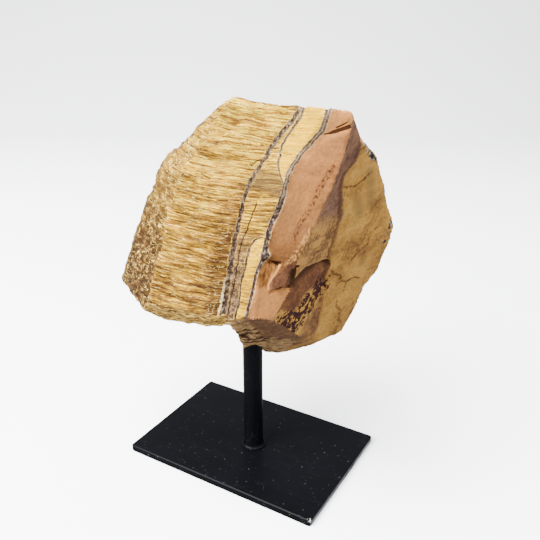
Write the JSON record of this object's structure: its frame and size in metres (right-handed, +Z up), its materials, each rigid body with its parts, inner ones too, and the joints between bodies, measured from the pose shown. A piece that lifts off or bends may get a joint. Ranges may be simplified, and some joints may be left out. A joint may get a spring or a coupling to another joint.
{
  "type": "rough tiger's eye slab on stand",
  "caption": "Rough broken slab of banded tiger's eye with a smooth mudstone side, held up on a round steel rod welded to a flat rectangular plate.",
  "frame": {"origin": "centre of the base plate's underside, on the surface that the stand rests on", "axes": "+Z up along the rod, +X along the plate's long side, +Y to the back: the stone's fibrous face looks towards -Y"},
  "size_m": [0.1574, 0.1021, 0.226],
  "materials": {
    "stand_paint": "matte black paint with light scratches and dust",
    "stone": "rough golden fibrous breaks with gray seams, smooth pinkish tan mudstone and ochre rind"
  },
  "bodies": {
    "root": {"base_plate": "stand_paint", "rod": "stand_paint", "weld_bead": "stand_paint", "stone": "stone"}
  },
  "joints": []
}
